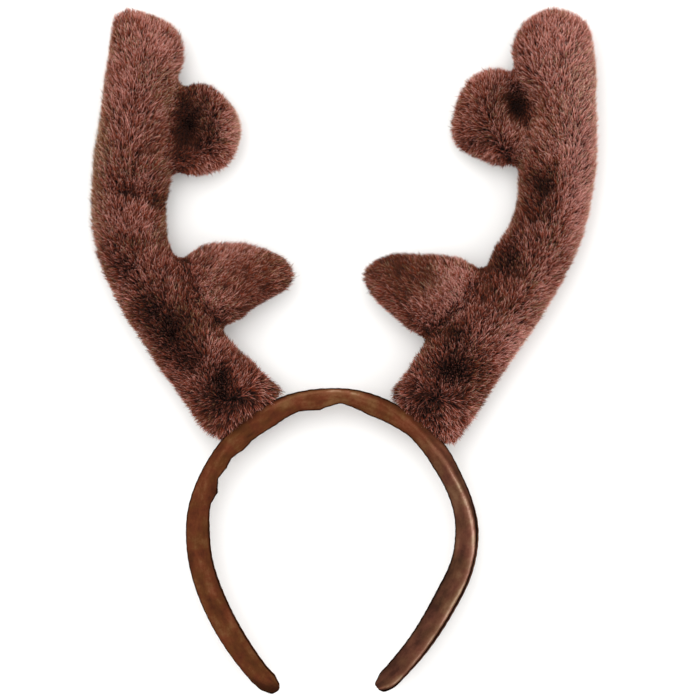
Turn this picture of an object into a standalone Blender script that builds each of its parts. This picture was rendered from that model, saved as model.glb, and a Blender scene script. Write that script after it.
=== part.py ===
"""Reindeer antler headband, lying on its back on a flat surface.

A fabric-covered hoop carries two antlers of long-pile plush. Each antler is a main beam with a
brow tine low down and a rounded crown tine near the top. Seen from above, +X is right and +Y runs
from the hoop's tips to its crown, so "left" and "right" are those of a viewer facing the wearer.
The two antlers are not mirror copies: each has its own table of sections.
"""

import math
from collections import namedtuple

import bmesh
import bpy
from mathutils import Vector, noise

# Sizes are millimetres and angles are degrees, and MM turns them into metres.
MM = 0.001
SEAM_GAP = 0.3

# The hoop's sleeve is a rounded rectangle, BAND_DEPTH from front to back. Each arm rounds off over
# its last BAND_TIP. Its end ring is END_RING inside that round end, which closes with a low point.
BAND_DEPTH = 14.0
BAND_CORNER = 3.4
CORNER_LIMIT = 0.9
CORNER_STEPS = 2
BAND_SPACING = 5.0
BAND_TIP = 4.5
END_RING = 1.0
END_POINT = 1 / 8

# The inside of the crown is pressed flat where it rests on the head. The block that trims the
# antlers' feet fills the hoop above CROWN_BLOCK_Y.
CROWN_SEAT_Y = 132.0
CROWN_SEAT_HALF = 6.0
CROWN_SEAT_PRESS = 0.3
CROWN_BLOCK_Y = 90.0

# The antlers' mid-plane is level with the hoop's. The beams' backs are pressed flat at z = 0.
MIDDLE = 15.0
CROWN_TINE_MIDDLE = 13.5
BACK_PRESS = 2.0
PLUSH_SIDES = 24
PLUSH_SPACING = 4.7
PLUSH_SQUARENESS = 2.25
LIMB_POINT = 1 / 6

# The pile gathers in pointed tufts that lean along the nap.
TUFT_RISE = 1.2
TUFT_SINK = 0.9
TUFT_LEAN = 1.9
TUFT_VARIETY = 0.35
TUFT_VARIETY_SIZE = 6.0
TIP_RINGS_UPRIGHT = 2
TUFT_CLEARANCE = TUFT_RISE * (1 + TUFT_VARIETY) + TUFT_LEAN / 4 + SEAM_GAP

BandSection = namedtuple("BandSection", "x y thick twist")
BAND = [
    # x, y, thick, twist
    (-26.0, 1.4, 9.2, 0),
    (-34.3, 9.0, 10.0, 0),
    (-46.9, 26.8, 11.3, 0),
    (-55.7, 44.3, 11.6, 0),
    (-60.7, 59.9, 11.2, 0),
    (-62.1, 73.6, 11.0, 0),
    (-61.4, 84.0, 10.6, 0),
    (-58.1, 94.5, 10.4, 0),
    (-53.6, 104.0, 9.8, 0),
    (-48.0, 112.0, 10.0, 0),
    (-40.9, 119.0, 10.0, 0),
    (-32.2, 125.8, 9.7, 0),
    (-21.6, 131.9, 9.0, 0),
    (-10.5, 135.0, 8.2, 0),
    (-0.5, 135.9, 7.8, 0),
    (9.0, 135.2, 8.2, 0),
    (19.8, 131.9, 8.8, 0),
    (30.4, 126.2, 9.4, 0),
    (39.4, 119.2, 9.6, 0),
    (48.0, 110.3, 9.8, 0),
    (55.0, 98.4, 8.8, 2),
    (60.0, 86.0, 8.8, 6),
    (61.8, 73.6, 9.6, 10),
    (59.2, 57.2, 9.8, 13),
    (51.8, 41.2, 9.8, 13),
    (40.2, 22.7, 9.2, 13),
    (28.2, 8.4, 8.6, 10),
    (21.6, 1.8, 8.4, 8),
]

# Lean is the way the limb grows: 0 is +Y, 90 is +X. Each table starts inside what it grows from.
Section = namedtuple("Section", "x y lean width depth")
Limb = namedtuple("Limb", "name table middle press")
Surface = namedtuple("Surface", "point away nap front is_tuft")
LEFT_BEAM = [
    # x, y, lean, width, depth
    (-32.6, 119.7, -38, 40.2, 20),
    (-38.2, 127.2, -38, 39.9, 21),
    (-49.1, 138.5, -37, 38.4, 24),
    (-60.3, 151.6, -36, 35.2, 27),
    (-68.9, 163.5, -35, 34.6, 29),
    (-76.2, 175.5, -32, 35.8, 30),
    (-83.2, 187.6, -28, 36.0, 30),
    (-90.2, 199.9, -20, 34.0, 30),
    (-92.9, 211.9, -8, 34.0, 30),
    (-93.5, 224.0, 0, 35.0, 30),
    (-92.6, 235.5, 0, 36.6, 30),
    (-92.8, 246.0, 2, 34.0, 30),
    (-91.1, 258.0, 4, 33.2, 30),
    (-90.0, 271.0, 4, 32.8, 30),
    (-88.0, 282.0, 4, 34.5, 30),
    (-86.2, 291.6, 1, 35.9, 29),
    (-86.0, 299.0, 0, 34.6, 27),
    (-87.0, 304.5, 0, 31.2, 23),
    (-89.5, 309.1, 0, 25.0, 17),
    (-92.6, 312.3, 0, 14.6, 10),
    (-94.0, 314.0, 0, 7.0, 5),
]
RIGHT_BEAM = [
    # x, y, lean, width, depth
    (35.5, 119.1, 38, 39.5, 20),
    (41.5, 126.4, 38, 39.3, 21),
    (50.0, 138.1, 36, 39.3, 24),
    (60.4, 154.4, 35, 39.3, 27),
    (71.8, 168.8, 34, 36.6, 29),
    (81.9, 183.0, 31, 35.6, 30),
    (89.4, 196.0, 27, 35.8, 30),
    (96.6, 208.8, 20, 34.4, 30),
    (100.4, 219.5, 12, 34.2, 30),
    (102.1, 230.0, 7, 35.0, 30),
    (103.4, 242.5, 3, 36.4, 30),
    (104.8, 253.5, 1, 34.2, 30),
    (106.6, 262.5, 0, 30.6, 30),
    (106.0, 271.5, 0, 30.8, 30),
    (103.4, 281.5, -3, 36.6, 30),
    (101.4, 291.0, -2, 39.4, 29),
    (101.2, 298.1, 0, 38.0, 27),
    (101.7, 303.4, 0, 35.2, 24),
    (102.1, 307.8, 0, 30.6, 20),
    (102.2, 311.4, 0, 21.6, 14),
    (101.7, 313.8, 0, 11.0, 8),
]
LEFT_BROW_TINE = [
    # x, y, lean, width, depth
    (-76.0, 183.0, 90, 26.0, 22),
    (-70.0, 184.8, 90, 35.4, 24),
    (-62.0, 184.9, 90, 41.4, 26),
    (-55.0, 185.4, 90, 42.6, 26),
    (-48.8, 186.9, 90, 40.6, 26),
    (-42.4, 189.1, 90, 35.8, 25),
    (-35.4, 191.1, 90, 29.0, 23),
    (-29.0, 191.9, 90, 23.8, 20),
    (-24.6, 192.2, 90, 19.4, 17),
    (-21.2, 191.9, 90, 14.4, 13),
    (-18.6, 191.2, 90, 8.0, 8),
]
RIGHT_BROW_TINE = [
    # x, y, lean, width, depth
    (75.0, 182.0, -90, 24.0, 22),
    (68.0, 181.6, -90, 32.0, 24),
    (59.0, 180.2, -90, 40.0, 26),
    (49.7, 179.9, -90, 43.6, 26),
    (43.5, 180.6, -90, 42.6, 26),
    (36.6, 183.4, -90, 37.4, 25),
    (29.2, 186.8, -90, 31.2, 23),
    (23.0, 188.7, -90, 24.4, 20),
    (18.6, 189.8, -90, 18.0, 16),
    (15.8, 190.6, -90, 11.6, 11),
    (14.2, 190.9, -90, 6.4, 6),
]
LEFT_CROWN_TINE = [
    # x, y, lean, width, depth
    (-84.0, 258.6, 90, 26.0, 18),
    (-78.5, 258.6, 90, 37.0, 22),
    (-72.7, 258.5, 90, 44.6, 23),
    (-65.3, 259.2, 90, 45.0, 23),
    (-60.0, 259.2, 90, 43.6, 23),
    (-54.8, 258.8, 90, 39.8, 22),
    (-50.0, 257.7, 90, 33.4, 20),
    (-46.4, 257.6, 90, 25.0, 16),
    (-43.8, 258.2, 90, 14.6, 10),
    (-42.8, 258.6, 90, 7.0, 5),
]
RIGHT_CROWN_TINE = [
    # x, y, lean, width, depth
    (98.0, 264.0, -90, 24.0, 18),
    (90.5, 264.0, -90, 38.0, 22),
    (83.4, 263.8, -90, 47.6, 23),
    (77.3, 264.4, -90, 46.8, 23),
    (71.3, 265.0, -90, 43.6, 23),
    (65.4, 264.9, -90, 38.0, 22),
    (60.6, 263.9, -90, 31.0, 19),
    (57.4, 261.4, -90, 22.6, 15),
    (55.6, 259.6, -90, 12.6, 9),
]

# Hollows pressed into the front: where the pile parts, and the pits between crown tine and beam.
Dent = namedtuple("Dent", "piece x y reach_x reach_y depth")
DENTS = [
    # piece, x, y, reach_x, reach_y, depth
    Dent("left_beam", -91.5, 230.4, 11.0, 3.6, 3.5),
    Dent("left_beam", -72.5, 166.0, 6.0, 8.0, 2.5),
    Dent("left_crown_tine", -66.0, 261.0, 8.0, 12.0, 9.0),
    Dent("right_crown_tine", 84.6, 270.0, 8.5, 10.0, 10.0),
    Dent("right_beam", 84.0, 202.0, 6.0, 7.0, 2.5),
]

BAND_CLOTH = "#6A412C"
PLUSH = {
    "left_beam": "#6E4035",
    "left_brow_tine": "#683A2F",
    "left_crown_tine": "#59372F",
    "right_beam": "#76493D",
    "right_brow_tine": "#61392D",
    "right_crown_tine": "#5D3B31",
}


def read_at(rows, marks, place):
    """The values at one place on a smooth curve through the rows."""
    last = len(rows) - 1
    start = max(index for index in range(last) if marks[index] <= place)
    span = marks[start + 1] - marks[start]
    t = (place - marks[start]) / span

    def slope(index, column):
        low, high = max(index - 1, 0), min(index + 1, last)
        return (rows[high][column] - rows[low][column]) / (marks[high] - marks[low]) * span

    return [
        rows[start][column] * (2 * t**3 - 3 * t**2 + 1)
        + slope(start, column) * (t**3 - 2 * t**2 + t)
        + rows[start + 1][column] * (3 * t**2 - 2 * t**3)
        + slope(start + 1, column) * (t**3 - t**2)
        for column in range(len(rows[0]))
    ]


def read_evenly(rows, kind, size_column, spacing):
    """Rows of one kind, read every `spacing` along the outline that the given rows describe."""
    marks = [0.0]
    for before, after in zip(rows, rows[1:]):
        growth = (after[size_column] - before[size_column]) / 2
        step = math.hypot(after[0] - before[0], after[1] - before[1], growth)
        marks.append(marks[-1] + step)
    count = round(marks[-1] / spacing)
    return [kind(*read_at(rows, marks, marks[-1] * step / count)) for step in range(count + 1)]


def tube_faces(rings, sides):
    """Triangles of a tube with a point at each end. Each quad is split between its low corners."""
    faces = []
    for ring in range(rings - 1):
        for side in range(sides):
            beside = (side + 1) % sides
            a, b = ring * sides + side, ring * sides + beside
            d, c = a + sides, b + sides
            if (ring + side) % 2 == 0:
                faces += [(a, d, b), (b, d, c)]
            else:
                faces += [(a, c, b), (a, d, c)]
    first_tip = rings * sides
    last_ring = (rings - 1) * sides
    for side in range(sides):
        beside = (side + 1) % sides
        faces.append((first_tip, side, beside))
        faces.append((first_tip + 1, last_ring + beside, last_ring + side))
    return faces


def place_mesh(name, points, faces, anchor, root):
    """An object under the root, with its own origin at the anchor. Points are in millimetres."""
    mesh = bpy.data.meshes.new(name)
    mesh.from_pydata([(point - anchor) * MM for point in points], [], faces)
    mesh.validate()
    mesh.shade_smooth()
    obj = bpy.data.objects.new(name, mesh)
    obj.location = anchor * MM
    obj.parent = root
    bpy.context.scene.collection.objects.link(obj)
    return obj


def limb_mesh(limb, finish, root):
    """A limb's object, with every point of its sections passed through a finish."""
    rows = read_evenly(limb.table, Section, 3, PLUSH_SPACING)
    points = []
    for ring, section in enumerate(rows):
        lean = math.radians(section.lean)
        across = Vector((math.cos(lean), -math.sin(lean), 0))
        heading = Vector((math.sin(lean), math.cos(lean), 0))
        centre = Vector((section.x, section.y, limb.middle))
        upright = ring >= len(rows) - TIP_RINGS_UPRIGHT
        for side in range(PLUSH_SIDES):
            out = outline_point(section, math.tau * side / PLUSH_SIDES, limb.press)
            away = across * (out.x / section.width**2) + Vector((0, 0, out.z / section.depth**2))
            surface = Surface(
                point=centre + across * out.x + Vector((0, 0, out.z)),
                away=away.normalized(),
                nap=heading * (0 if upright else TUFT_LEAN),
                front=max(0.0, min(1.0, 2 * out.z / section.depth)),
                is_tuft=(ring + side) % 2 == 0,
            )
            points.append(finish(limb, surface))
    first, last = rows[0], rows[-1]
    reach = Vector((math.sin(math.radians(last.lean)), math.cos(math.radians(last.lean)), 0))
    points.append(Vector((first.x, first.y, limb.middle)))
    points.append(Vector((last.x, last.y, limb.middle)) + reach * last.width * LIMB_POINT)
    anchor = Vector((first.x, first.y, limb.middle))
    return place_mesh(limb.name, points, tube_faces(len(rows), PLUSH_SIDES), anchor, root)


def outline_point(section, angle, press):
    """A point of a limb's rounded section: x across it, z above its middle."""
    power = 2 / PLUSH_SQUARENESS
    side = math.copysign(abs(math.cos(angle)) ** power, math.cos(angle))
    rise = math.copysign(abs(math.sin(angle)) ** power, math.sin(angle))
    half_depth = section.depth / 2 + (press if rise < 0 else 0)
    return Vector((side * section.width / 2, 0, rise * half_depth))


def tufted(limb, surface):
    """The surface as pile: a leaning tuft or the valley between tufts, dented and laid down."""
    if surface.is_tuft:
        variety = 1 + TUFT_VARIETY * noise.noise(surface.point / TUFT_VARIETY_SIZE)
        point = surface.point + surface.away * TUFT_RISE * variety + surface.nap
    else:
        point = surface.point - surface.away * TUFT_SINK
    for dent in DENTS:
        if dent.piece == limb.name:
            far = ((point.x - dent.x) / dent.reach_x) ** 2 + ((point.y - dent.y) / dent.reach_y) ** 2
            point.z -= dent.depth * math.exp(-far) * surface.front
    point.z = max(0.0, point.z)
    return point


def cleared(limb, surface):
    """The surface moved out until it clears the limb's tufts and the gap of a seam."""
    return surface.point + surface.away * TUFT_CLEARANCE


def make_limb(limb, root):
    """A plush limb with its tufts."""
    obj = limb_mesh(limb, tufted, root)
    obj.data.materials.append(make_material(limb.name + "_plush", PLUSH[limb.name], 0.95))
    return obj


def band_frames(rows):
    """The hoop's sections, each with its centre and the way out of the hoop."""
    centres = [Vector((row.x, row.y, MIDDLE)) for row in rows]
    frames = []
    for index, row in enumerate(rows):
        ahead = centres[min(index + 1, len(rows) - 1)] - centres[max(index - 1, 0)]
        ahead.normalize()
        frames.append((row, centres[index], Vector((-ahead.y, ahead.x, 0))))
    return frames


def sleeve_outline(row, shrink):
    """The sleeve's rounded rectangle as (outwards, upwards) pairs, turned by its twist."""
    half_thick, half_depth = row.thick / 2 * shrink, BAND_DEPTH / 2 * shrink
    corner = min(BAND_CORNER * shrink, half_thick * CORNER_LIMIT)
    twist = math.radians(row.twist)
    outline = []
    for quarter in range(4):
        side = 1 if quarter in (0, 3) else -1
        rise = 1 if quarter in (0, 1) else -1
        for step in range(CORNER_STEPS + 1):
            angle = math.radians(90) * (quarter + step / CORNER_STEPS)
            out = side * (half_thick - corner) + corner * math.cos(angle)
            up = rise * (half_depth - corner) + corner * math.sin(angle)
            outline.append(
                (
                    out * math.cos(twist) - up * math.sin(twist),
                    out * math.sin(twist) + up * math.cos(twist),
                )
            )
    return outline


def make_band(root):
    """The hoop's sleeve, with round tips and a flat seat inside the crown."""
    rows = read_evenly(BAND, BandSection, 2, BAND_SPACING)
    frames = band_frames(rows)
    points = []
    for index, (row, centre, outwards) in enumerate(frames):
        from_end = END_RING + BAND_SPACING * min(index, len(rows) - 1 - index)
        shrink = math.sqrt(1 - max(0.0, 1 - from_end / BAND_TIP) ** 2)
        for out, up in sleeve_outline(row, shrink):
            point = centre + outwards * out + Vector((0, 0, up))
            beneath_crown = abs(point.x) < CROWN_SEAT_HALF
            if beneath_crown and abs(point.y - CROWN_SEAT_Y) < CROWN_SEAT_PRESS:
                point.y = CROWN_SEAT_Y
            points.append(point)
    tips = [
        centre + (centre - beside).normalized() * row.thick * END_POINT
        for (row, centre, _), (_, beside, _) in ((frames[0], frames[1]), (frames[-1], frames[-2]))
    ]
    sides = 4 * (CORNER_STEPS + 1)
    faces = [face[::-1] for face in tube_faces(len(rows), sides)]
    band = place_mesh("band", points + tips, faces, Vector((0, CROWN_SEAT_Y, MIDDLE)), root)
    band.data.materials.append(make_material("band_cloth", BAND_CLOTH, 0.85))
    return band


def make_crown_block(root):
    """All that lies within the upper hoop's outer side, as a cutter for the antlers' feet."""
    rows = read_evenly(BAND, BandSection, 2, BAND_SPACING)
    reach = [
        centre + outwards * (row.thick / 2 + SEAM_GAP)
        for row, centre, outwards in band_frames(rows)
        if centre.y > CROWN_BLOCK_Y
    ]
    low, high = Vector((0, 0, -MIDDLE * 2)), Vector((0, 0, MIDDLE * 2))
    count = len(reach)
    points = [point + low for point in reach] + [point + high for point in reach]
    faces = [tuple(range(count)), tuple(range(2 * count - 1, count - 1, -1))]
    for index in range(count):
        beside = (index + 1) % count
        faces.append((index, index + count, beside + count, beside))
    return as_cutter(place_mesh("crown_block", points, faces, Vector((0, 0, 0)), root))


def as_cutter(obj):
    """Marks an object as a shape that only cuts."""
    obj.hide_render = True
    obj.display_type = "WIRE"
    return obj


def cut(obj, cutter):
    """Takes the cutter's room out of the object, with the tips of tufts that it nips off."""
    boolean = obj.modifiers.new("fit_" + cutter.name, "BOOLEAN")
    boolean.operation = "DIFFERENCE"
    boolean.solver = "EXACT"
    boolean.object = cutter
    bpy.context.view_layer.update()
    graph = bpy.context.evaluated_depsgraph_get()
    whole = bpy.data.meshes.new_from_object(obj.evaluated_get(graph))
    obj.modifiers.clear()
    shape = bmesh.new()
    shape.from_mesh(whole)
    bodies = connected_bodies(shape)
    crumbs = [vertex for body in bodies[1:] for vertex in body]
    bmesh.ops.delete(shape, geom=crumbs, context="VERTS")
    shape.to_mesh(whole)
    shape.free()
    obj.data = whole


def connected_bodies(shape):
    """The mesh's vertices in connected groups, the largest group first."""
    left = set(shape.verts)
    bodies = []
    while left:
        body, edge_of_search = set(), [left.pop()]
        while edge_of_search:
            vertex = edge_of_search.pop()
            body.add(vertex)
            beside = {edge.other_vert(vertex) for edge in vertex.link_edges} & left
            left -= beside
            edge_of_search += beside
        bodies.append(body)
    return sorted(bodies, key=len, reverse=True)


def make_material(name, colour, roughness):
    """A plain material of an sRGB colour."""
    channels = [int(colour[start : start + 2], 16) / 255 for start in (1, 3, 5)]
    linear = [((channel + 0.055) / 1.055) ** 2.4 for channel in channels]
    material = bpy.data.materials.new(name)
    material.use_nodes = True
    shader = material.node_tree.nodes["Principled BSDF"]
    shader.inputs["Base Color"].default_value = (*linear, 1)
    shader.inputs["Roughness"].default_value = roughness
    shader.inputs["Metallic"].default_value = 0
    return material


def stand_at_origin(root, pieces):
    """Moves the whole so that its box is centred over the origin, with its underside at z = 0."""
    bpy.context.view_layer.update()
    graph = bpy.context.evaluated_depsgraph_get()
    corners = []
    for piece in pieces:
        shape = piece.evaluated_get(graph)
        corners += [shape.matrix_world @ vertex.co for vertex in shape.to_mesh().vertices]
        shape.to_mesh_clear()
    low, high = (Vector([pick(axis) for axis in zip(*corners)]) for pick in (min, max))
    root.location = Vector((-(low.x + high.x) / 2, -(low.y + high.y) / 2, -low.z))


def make_antler(side, beam_table, brow_table, crown_table, crown_block, root):
    """One antler: the beam stands on the hoop, and both tines meet the beam."""
    beam = make_limb(Limb(side + "_beam", beam_table, MIDDLE, BACK_PRESS), root)
    brow = make_limb(Limb(side + "_brow_tine", brow_table, MIDDLE, 0), root)
    crown = make_limb(Limb(side + "_crown_tine", crown_table, CROWN_TINE_MIDDLE, 0), root)
    beam_room = Limb(side + "_beam_room", beam_table, MIDDLE, BACK_PRESS)
    envelope = as_cutter(limb_mesh(beam_room, cleared, root))
    cut(beam, crown_block)
    cut(brow, envelope)
    cut(crown, envelope)
    return [beam, brow, crown]


def main():
    for obj in list(bpy.data.objects):
        bpy.data.objects.remove(obj, do_unlink=True)
    root = bpy.data.objects.new("headband", None)
    bpy.context.scene.collection.objects.link(root)
    pieces = [make_band(root)]
    crown_block = make_crown_block(root)
    left_tables = (LEFT_BEAM, LEFT_BROW_TINE, LEFT_CROWN_TINE)
    right_tables = (RIGHT_BEAM, RIGHT_BROW_TINE, RIGHT_CROWN_TINE)
    pieces += make_antler("left", *left_tables, crown_block, root)
    pieces += make_antler("right", *right_tables, crown_block, root)
    stand_at_origin(root, pieces)


main()
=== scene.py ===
"""Finish of a reindeer antler headband: two antlers of long-pile plush on a hoop in a cloth sleeve.

The frame holds the plain solids. Each antler gets a knitted backing a pile's height inside its
solids and one pile of strands for each limb, and the hoop gets its sleeve with folds and a ridge.
"""

import math
from collections import namedtuple

import bmesh
import bpy
import numpy as np
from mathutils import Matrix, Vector, noise
from mathutils.bvhtree import BVHTree


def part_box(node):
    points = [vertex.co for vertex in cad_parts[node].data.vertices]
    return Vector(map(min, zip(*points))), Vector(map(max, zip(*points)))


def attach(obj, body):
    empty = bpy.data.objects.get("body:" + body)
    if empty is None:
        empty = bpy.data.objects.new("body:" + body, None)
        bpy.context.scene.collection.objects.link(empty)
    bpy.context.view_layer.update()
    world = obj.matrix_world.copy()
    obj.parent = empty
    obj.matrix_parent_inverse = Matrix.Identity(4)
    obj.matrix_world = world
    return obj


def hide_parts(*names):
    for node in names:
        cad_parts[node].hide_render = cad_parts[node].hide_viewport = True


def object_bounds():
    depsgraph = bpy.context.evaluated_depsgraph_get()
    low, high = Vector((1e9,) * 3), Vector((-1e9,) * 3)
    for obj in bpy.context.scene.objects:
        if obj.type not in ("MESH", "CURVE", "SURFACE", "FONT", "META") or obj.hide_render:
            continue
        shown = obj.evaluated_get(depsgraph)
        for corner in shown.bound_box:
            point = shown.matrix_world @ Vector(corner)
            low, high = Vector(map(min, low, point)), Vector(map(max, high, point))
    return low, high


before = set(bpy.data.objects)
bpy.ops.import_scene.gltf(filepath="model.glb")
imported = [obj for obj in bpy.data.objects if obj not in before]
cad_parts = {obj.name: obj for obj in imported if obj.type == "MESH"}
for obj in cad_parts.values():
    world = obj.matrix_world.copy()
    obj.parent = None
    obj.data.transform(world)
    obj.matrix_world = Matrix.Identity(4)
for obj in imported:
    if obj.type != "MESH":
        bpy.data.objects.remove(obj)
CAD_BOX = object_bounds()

bl_info = {
    "name": "Antler Headband Finish",
    "version": (1, 0, 0),
    "blender": (4, 5, 0),
    "location": "View3D > Sidebar > Headband",
    "description": "Gives the antler headband its plush, its cloth sleeve and its stage",
    "category": "Object",
}

MM = 0.001
MATH = "ShaderNodeMath"
VECTOR_MATH = "ShaderNodeVectorMath"

# The reference picture is 700 pixels wide, and its middle lies this far right of the origin
PICTURE_WIDTH = 322.0 * MM
PICTURE_MIDDLE_X = 2.3 * MM
SENSOR_WIDTH = 36.0

ANTLERS = {
    "left": ("left_beam", "left_brow_tine", "left_crown_tine"),
    "right": ("right_beam", "right_brow_tine", "right_crown_tine"),
}
HOOP = "band"

# Surfaces of the frame's nodes are welded where their corners are this close
WELD = 0.001 * MM

# The backing is swollen this far to close its seams, then drawn in by steps, and eased each time
CLOSING = 0.35 * MM
CLOSING_SMOOTHINGS = 4
DRAWING_STEPS = 3
DRAWING_SMOOTHINGS = 2
# Size of its knitted loops
LOOP_SIZE = 0.9 * MM

# The pile is short in these creases and darkened with painted shade: the limb it belongs to, and the
# limb beside it
CREASES = (
    ("left_beam", "left_brow_tine"),
    ("left_crown_tine", "left_beam"),
    ("right_beam", "right_brow_tine"),
)

# A strand is as long as the room over its root, within these shares of the pile's length. No patch
# takes more of it than MOST_SINK, or lays or lifts it past STANDS, and it shows by its upper half,
# SHOWN_SHARE along its sweep.
ROOMS = (0.65, 1.05)
MOST_SINK = 0.7
STANDS = (-0.4, 0.9)
SHOWN_SHARE = 0.6

# The share of tan strands where no patch changes it, and how many more there are on the sides, where
# the paler tan is painted light
TAN_SHARE = 0.08
SIDE_LIGHT_TAN = 0.35

# Unevenness of handled pile: how strong it is, and the sizes of its broad and its small spots
Mottling = namedtuple("Mottling", "strength broad small")
SHADE_MOTTLING = Mottling(0.2, 14 * MM, 5 * MM)
TAN_MOTTLING = Mottling(0.25, 24 * MM, 11 * MM)

# A strand tapers and bends towards its tip, and its flat side faces away from the backing, give or
# take FACING_STRAY
TAPER_POWER = 3.0
BEND_POWER = 1.7
FACING_STRAY = (0.8, 0.8, 0.8)

# The random draws of a strand: its own way, its share of the pile's length, the way its flat side
# faces, its own tone, and the draw that makes it tan
EVERY_WAY = ("FLOAT_VECTOR", (-1, -1, -1), (1, 1, 1))
DRAWS = (EVERY_WAY, ("FLOAT", 0.75, 1.1), EVERY_WAY, ("FLOAT", -0.27, 0.94), ("FLOAT", 0.0, 1.0))

# How much a tuft changes its strands' tone, and the tones they stay between
TUFT_TONE = 0.25
TONES = {"Min": 0.02, "Max": 0.98}

# Colour saturation of the darkest strands, and how much less the palest ones have
DARK_SATURATION = 1.3
PALE_LOSS = 0.46

# The stretch of hoop that each antler is sewn to, in degrees round the hoop's middle
SEAT_ARCS = {"left": (112, 141), "right": (39, 63)}

# How the pile lies: at (x, y) in mm the strands sweep towards (to_x, to_y). Between the rows their
# weight falls with the squared distance plus LIE_EASE, to the power LIE_POWER.
LIE_EASE = 4.0
LIE_POWER = 1.5
Lie = namedtuple("Lie", "x y to_x to_y")
LIES = {
    "left_beam": (
        Lie(-48, -38, -0.1, -0.9),
        Lie(-30, -20, 0.6, -0.5),
        Lie(-68, -36, -0.7, -0.4),
        Lie(-74, -14, -0.5, 0.6),
        Lie(-52, -8, 0.2, 0.8),
        Lie(-98, 22, -0.6, 0.75),
        Lie(-80, 26, -0.2, 0.9),
        Lie(-112, 60, -0.4, 0.9),
        Lie(-94, 60, 0.25, 0.95),
        Lie(-108, 100, -0.3, 0.95),
        Lie(-90, 100, 0.55, 0.8),
        Lie(-102, 135, -0.2, 0.95),
        Lie(-84, 135, 0.5, 0.85),
        Lie(-94, 158, -0.2, 1.0),
    ),
    "left_brow_tine": (
        Lie(-66, 30, 0.8, 0.6),
        Lie(-54, 18, 0.5, 0.85),
        Lie(-42, 24, 0.8, 0.6),
        Lie(-52, 46, 0.6, 0.6),
        Lie(-28, 38, 0.95, 0.3),
    ),
    "left_crown_tine": (
        Lie(-76, 100, 0.3, 0.8),
        Lie(-62, 120, 0.4, 0.9),
        Lie(-50, 100, 1.0, 0.2),
        Lie(-64, 80, 0.5, -0.7),
    ),
    "right_beam": (
        Lie(42, -38, 0.3, -0.9),
        Lie(56, -40, 0.6, -0.4),
        Lie(24, -20, -0.6, -0.4),
        Lie(62, -10, 0.6, 0.6),
        Lie(44, -8, -0.1, 0.8),
        Lie(90, 20, 0.75, 0.6),
        Lie(72, 26, 0.2, 0.9),
        Lie(106, 60, 0.6, 0.8),
        Lie(90, 60, -0.1, 0.95),
        Lie(114, 95, 0.6, 0.8),
        Lie(97, 95, -0.5, 0.8),
        Lie(110, 135, 0.5, 0.85),
        Lie(92, 135, -0.35, 0.95),
        Lie(96, 158, 0.1, 1.0),
    ),
    "right_brow_tine": (
        Lie(54, 24, -0.6, 0.8),
        Lie(40, 12, -0.4, 0.85),
        Lie(30, 24, -0.8, 0.5),
        Lie(36, 42, -0.5, 0.7),
        Lie(12, 30, -0.95, 0.3),
    ),
    "right_crown_tine": (
        Lie(84, 122, -0.1, 0.9),
        Lie(68, 126, -0.3, 0.9),
        Lie(52, 106, -1.0, 0.2),
        Lie(66, 84, -0.5, -0.7),
        Lie(82, 94, 0.3, 0.6),
    ),
}
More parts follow.
